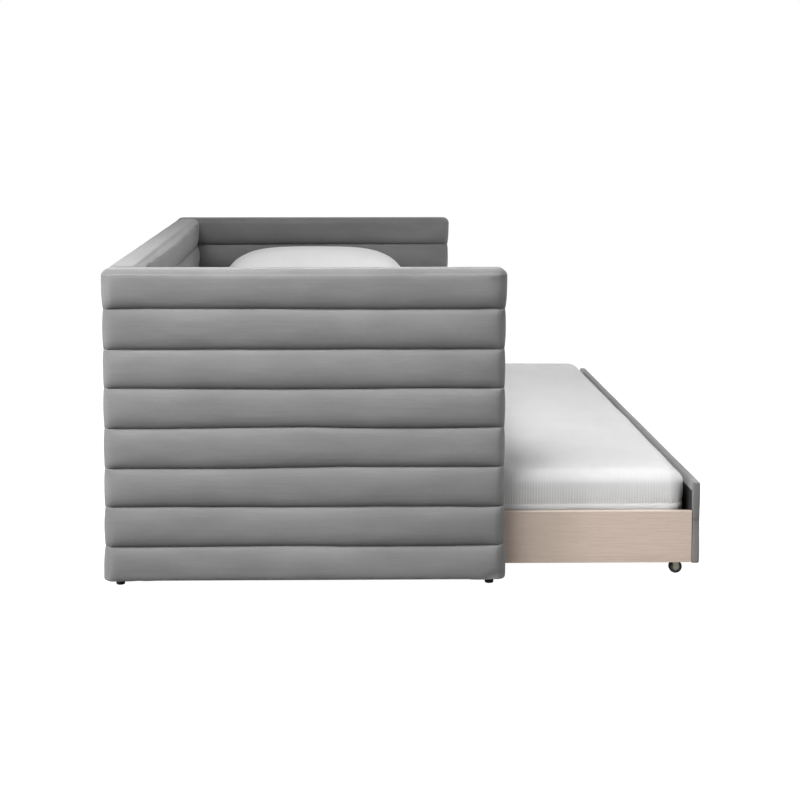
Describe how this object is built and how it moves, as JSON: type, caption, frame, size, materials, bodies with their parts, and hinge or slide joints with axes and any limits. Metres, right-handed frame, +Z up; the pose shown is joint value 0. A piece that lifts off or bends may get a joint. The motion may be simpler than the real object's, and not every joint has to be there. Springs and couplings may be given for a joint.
{
  "type": "trundle bed",
  "caption": "Padded daybed with horizontal channels on its back and arms, and a low trundle bed on casters that pulls out at the front.",
  "frame": {"origin": "on the floor, under the middle of the daybed's own footprint", "axes": "+X along the bed towards its right arm, +Y towards the back panel, +Z up; the trundle pulls out towards -Y"},
  "size_m": [2.1598, 1.6295, 0.86],
  "materials": {
    "velvet": "matte",
    "black_lining": "matte",
    "frame_wood": "matte",
    "hardboard": "matte",
    "slat_wood": "satin",
    "veneer": "satin",
    "webbing": "matte",
    "mattress_cloth": "matte",
    "pillow_cloth": "matte",
    "black_plastic": "satin",
    "hub_plastic": "satin",
    "tyre_rubber": "matte",
    "zinc_steel": "satin"
  },
  "bodies": {
    "daybed": {"back_boards": "hardboard", "back_cover": "velvet", "back_dust_cover": "black_lining", "back_feet": "black_plastic", "back_frame": "frame_wood", "back_ledger": "frame_wood", "centre_rail": "frame_wood", "centre_rail_hangers": "zinc_steel", "corner_bolts": "zinc_steel", "corner_brackets": "zinc_steel", "front_ledger": "frame_wood", "front_rail_board": "frame_wood", "front_rail_cover": "velvet", "hanger_bolts": "zinc_steel", "ledger_screws": "zinc_steel", "left_arm_boards": "hardboard", "left_arm_cover": "velvet", "left_arm_dust_cover": "black_lining", "left_arm_feet": "black_plastic", "left_arm_frame": "frame_wood", "mattress": "mattress_cloth", "pillow": "pillow_cloth", "right_arm_boards": "hardboard", "right_arm_cover": "velvet", "right_arm_dust_cover": "black_lining", "right_arm_feet": "black_plastic", "right_arm_frame": "frame_wood", "slat_straps": "webbing", "slats": "slat_wood"},
    "trundle": {"back_left_caster_axle": "zinc_steel", "back_left_caster_fork": "zinc_steel", "back_right_caster_axle": "zinc_steel", "back_right_caster_fork": "zinc_steel", "caster_screws": "zinc_steel", "front_left_caster_axle": "zinc_steel", "front_left_caster_fork": "zinc_steel", "front_right_caster_axle": "zinc_steel", "front_right_caster_fork": "zinc_steel", "trundle_back_board": "veneer", "trundle_back_ledger": "frame_wood", "trundle_block_screws": "zinc_steel", "trundle_centre_rail": "frame_wood", "trundle_corner_blocks": "frame_wood", "trundle_front_backing": "black_lining", "trundle_front_board": "frame_wood", "trundle_front_cover": "velvet", "trundle_front_ledger": "frame_wood", "trundle_left_board": "veneer", "trundle_mattress": "mattress_cloth", "trundle_rail_shoes": "zinc_steel", "trundle_right_board": "veneer", "trundle_slats": "slat_wood"},
    "front_left_wheel": {"front_left_caster_hub": "hub_plastic", "front_left_caster_tyre": "tyre_rubber"},
    "front_right_wheel": {"front_right_caster_hub": "hub_plastic", "front_right_caster_tyre": "tyre_rubber"},
    "back_left_wheel": {"back_left_caster_hub": "hub_plastic", "back_left_caster_tyre": "tyre_rubber"},
    "back_right_wheel": {"back_right_caster_hub": "hub_plastic", "back_right_caster_tyre": "tyre_rubber"}
  },
  "joints": [
    {"name": "trundle_slide", "type": "slide", "parent": "daybed", "child": "trundle", "axis": [0, -1, 0], "range_m": [-0.5445, 0.4775]},
    {"name": "front_left_wheel_spin", "type": "hinge", "parent": "trundle", "child": "front_left_wheel", "pos_m": [-0.95, -1.026, 0.018], "axis": [1, 0, 0], "continuous": true},
    {"name": "front_right_wheel_spin", "type": "hinge", "parent": "trundle", "child": "front_right_wheel", "pos_m": [0.95, -1.026, 0.018], "axis": [1, 0, 0], "continuous": true},
    {"name": "back_left_wheel_spin", "type": "hinge", "parent": "trundle", "child": "back_left_wheel", "pos_m": [-0.95, -0.136, 0.018], "axis": [1, 0, 0], "continuous": true},
    {"name": "back_right_wheel_spin", "type": "hinge", "parent": "trundle", "child": "back_right_wheel", "pos_m": [0.95, -0.136, 0.018], "axis": [1, 0, 0], "continuous": true}
  ],
  "couplings": [
    {"joint": "front_left_wheel_spin", "follows": "trundle_slide", "rad_per_m": 55.556},
    {"joint": "front_right_wheel_spin", "follows": "trundle_slide", "rad_per_m": 55.556},
    {"joint": "back_left_wheel_spin", "follows": "trundle_slide", "rad_per_m": 55.556},
    {"joint": "back_right_wheel_spin", "follows": "trundle_slide", "rad_per_m": 55.556}
  ]
}
